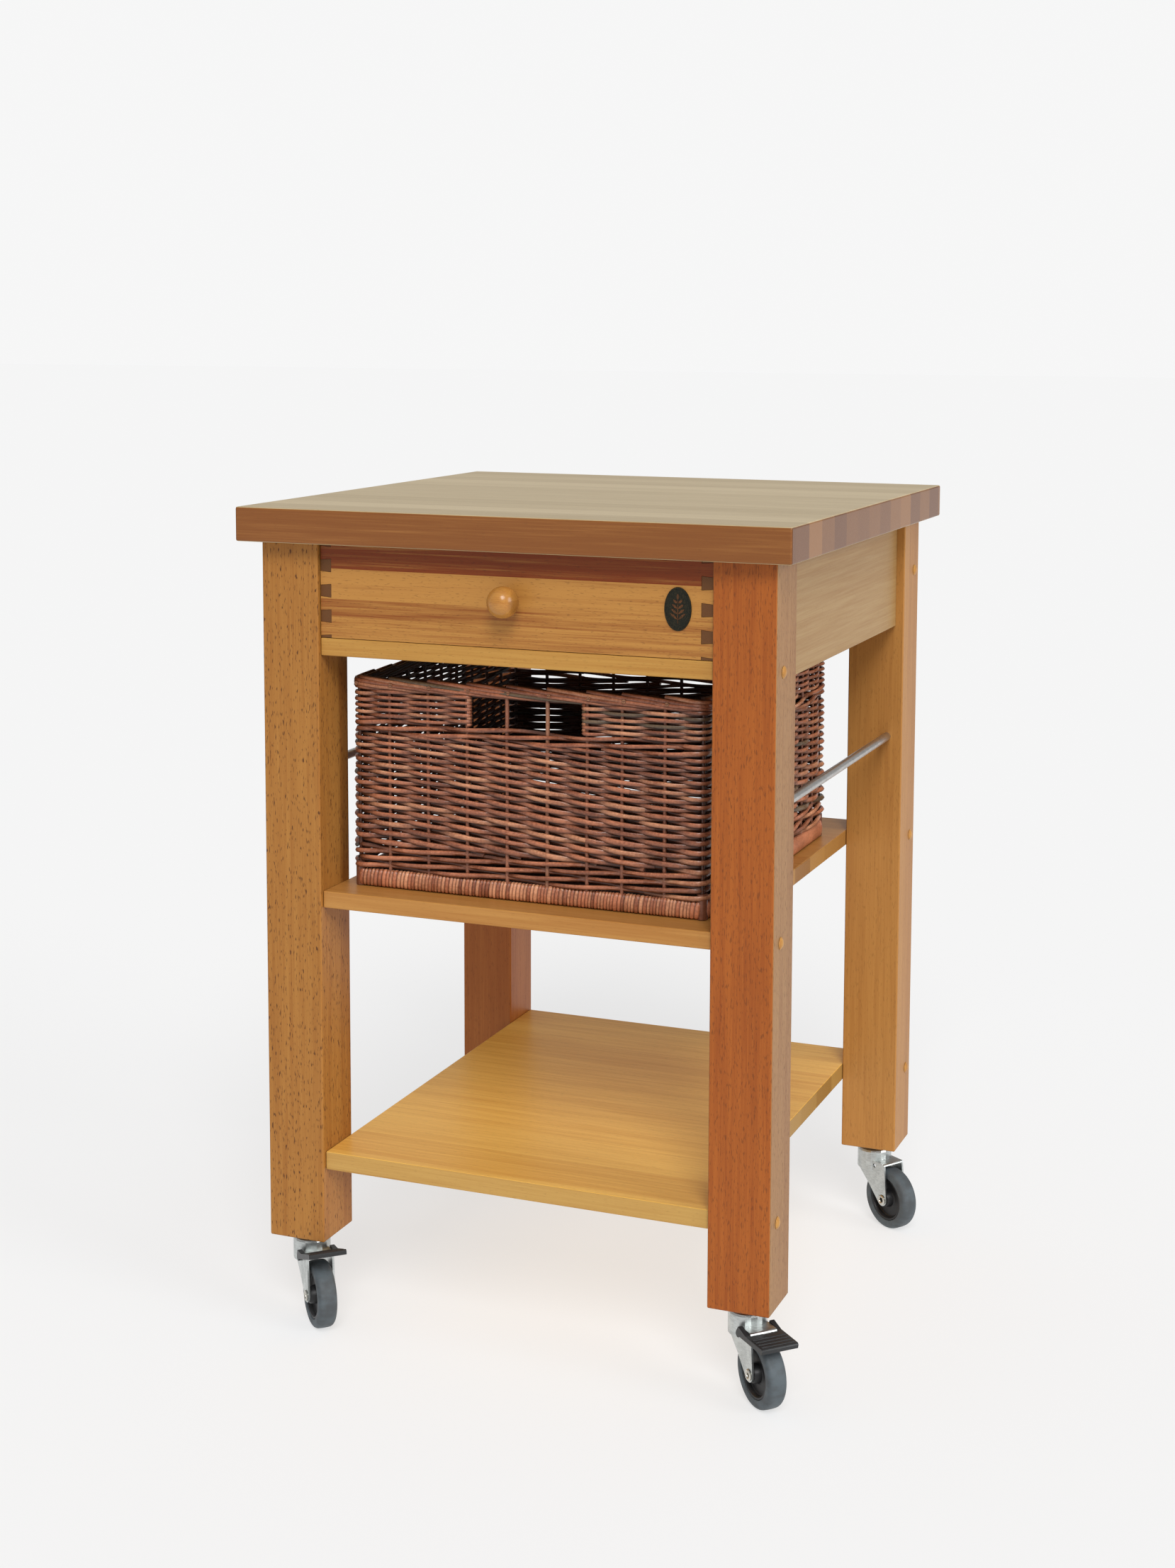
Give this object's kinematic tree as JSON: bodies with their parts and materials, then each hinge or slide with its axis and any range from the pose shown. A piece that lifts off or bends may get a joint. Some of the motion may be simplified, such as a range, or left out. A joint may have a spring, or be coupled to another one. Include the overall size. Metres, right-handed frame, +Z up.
{
  "type": "butcher block trolley",
  "caption": "Beech butcher-block trolley with a knobbed drawer, a pull-out willow basket, shelves, side towel rods and swivel casters with foot brakes.",
  "frame": {"origin": "on the floor under the middle of the worktop", "axes": "+Z up, -Y towards the user in front of the drawer, +X to the user's right"},
  "size_m": [0.6103, 0.6102, 0.8828],
  "materials": {
    "oiled_beech": "oiled beech boards, satin",
    "pale_beech": "paler beech, satin",
    "satin_steel": "satin",
    "zinc_plate": "zinc plated pressed steel",
    "grey_rubber": "matt grey rubber",
    "black_plastic": "moulded, semi-gloss",
    "dark_badge": null,
    "brown_willow": "stained willow",
    "bright_screw": "bright zinc plated"
  },
  "bodies": {
    "frame": {"back_apron": "oiled_beech", "caster_stem_back_left": "zinc_plate", "caster_stem_back_right": "zinc_plate", "caster_stem_front_left": "zinc_plate", "caster_stem_front_right": "zinc_plate", "drawer_rail": "pale_beech", "leg_back_left": "oiled_beech", "leg_back_right": "oiled_beech", "leg_front_left": "oiled_beech", "leg_front_right": "oiled_beech", "lower_shelf": "oiled_beech", "middle_shelf": "oiled_beech", "runner_left": "pale_beech", "runner_right": "pale_beech", "screw_cover_back_left_lower": "oiled_beech", "screw_cover_back_left_middle": "oiled_beech", "screw_cover_back_left_upper": "oiled_beech", "screw_cover_back_right_lower": "oiled_beech", "screw_cover_back_right_middle": "oiled_beech", "screw_cover_back_right_upper": "oiled_beech", "screw_cover_front_left_lower": "oiled_beech", "screw_cover_front_left_middle": "oiled_beech", "screw_cover_front_left_upper": "oiled_beech", "screw_cover_front_right_lower": "oiled_beech", "screw_cover_front_right_middle": "oiled_beech", "screw_cover_front_right_upper": "oiled_beech", "side_apron_left": "oiled_beech", "side_apron_right": "oiled_beech", "towel_rod_left": "satin_steel", "towel_rod_right": "satin_steel", "worktop": "oiled_beech"},
    "drawer": {"badge": "dark_badge", "drawer_back": "pale_beech", "drawer_bottom": "pale_beech", "drawer_front": "oiled_beech", "drawer_knob": "oiled_beech", "drawer_side_left": "pale_beech", "drawer_side_right": "pale_beech", "knob_screw": "bright_screw"},
    "basket": {"basket": "brown_willow"},
    "fork_front_left": {"fork_front_left": "zinc_plate", "axle_front_left": "zinc_plate"},
    "wheel_front_left": {"tyre_front_left": "grey_rubber", "wheel_hub_front_left": "black_plastic"},
    "pedal_front_left": {"brake_pedal_front_left": "black_plastic"},
    "fork_front_right": {"fork_front_right": "zinc_plate", "axle_front_right": "zinc_plate"},
    "wheel_front_right": {"tyre_front_right": "grey_rubber", "wheel_hub_front_right": "black_plastic"},
    "pedal_front_right": {"brake_pedal_front_right": "black_plastic"},
    "fork_back_left": {"fork_back_left": "zinc_plate", "axle_back_left": "zinc_plate"},
    "wheel_back_left": {"tyre_back_left": "grey_rubber", "wheel_hub_back_left": "black_plastic"},
    "fork_back_right": {"fork_back_right": "zinc_plate", "axle_back_right": "zinc_plate"},
    "wheel_back_right": {"tyre_back_right": "grey_rubber", "wheel_hub_back_right": "black_plastic"}
  },
  "joints": [
    {"name": "drawer_slide", "type": "slide", "parent": "frame", "child": "drawer", "axis": [0, -1, 0], "range_m": [0, 0.33]},
    {"name": "basket_slide", "type": "slide", "parent": "frame", "child": "basket", "axis": [0, -1, 0], "range_m": [0, 0.3]},
    {"name": "swivel_front_left", "type": "hinge", "parent": "frame", "child": "fork_front_left", "pos_m": [-0.2475, -0.2475, 0.09], "axis": [0, 0, 1], "continuous": true},
    {"name": "wheel_spin_front_left", "type": "hinge", "parent": "fork_front_left", "child": "wheel_front_left", "pos_m": [-0.22628, -0.26955, 0.0356], "axis": [0.7206, 0.6934, 0], "continuous": true},
    {"name": "brake_front_left", "type": "hinge", "parent": "fork_front_left", "child": "pedal_front_left", "pos_m": [-0.23592, -0.25953, 0.0735], "axis": [0.7206, 0.6934, 0], "range_deg": [0, 20]},
    {"name": "swivel_front_right", "type": "hinge", "parent": "frame", "child": "fork_front_right", "pos_m": [0.2475, -0.2475, 0.09], "axis": [0, 0, 1], "continuous": true},
    {"name": "wheel_spin_front_right", "type": "hinge", "parent": "fork_front_right", "child": "wheel_front_right", "pos_m": [0.26966, -0.2686, 0.0356], "axis": [0.6896, 0.7242, 0], "continuous": true},
    {"name": "brake_front_right", "type": "hinge", "parent": "fork_front_right", "child": "pedal_front_right", "pos_m": [0.25959, -0.25902, 0.0735], "axis": [-0.6896, -0.7242, 0], "range_deg": [0, 20]},
    {"name": "swivel_back_left", "type": "hinge", "parent": "frame", "child": "fork_back_left", "pos_m": [-0.2475, 0.2475, 0.09], "axis": [0, 0, 1], "continuous": true},
    {"name": "wheel_spin_back_left", "type": "hinge", "parent": "fork_back_left", "child": "wheel_back_left", "pos_m": [-0.22406, 0.22783, 0.0356], "axis": [0.6428, 0.766, 0], "continuous": true},
    {"name": "swivel_back_right", "type": "hinge", "parent": "frame", "child": "fork_back_right", "pos_m": [0.2475, 0.2475, 0.09], "axis": [0, 0, 1], "continuous": true},
    {"name": "wheel_spin_back_right", "type": "hinge", "parent": "fork_back_right", "child": "wheel_back_right", "pos_m": [0.27296, 0.23052, 0.0356], "axis": [0.5548, 0.832, 0], "continuous": true}
  ]
}
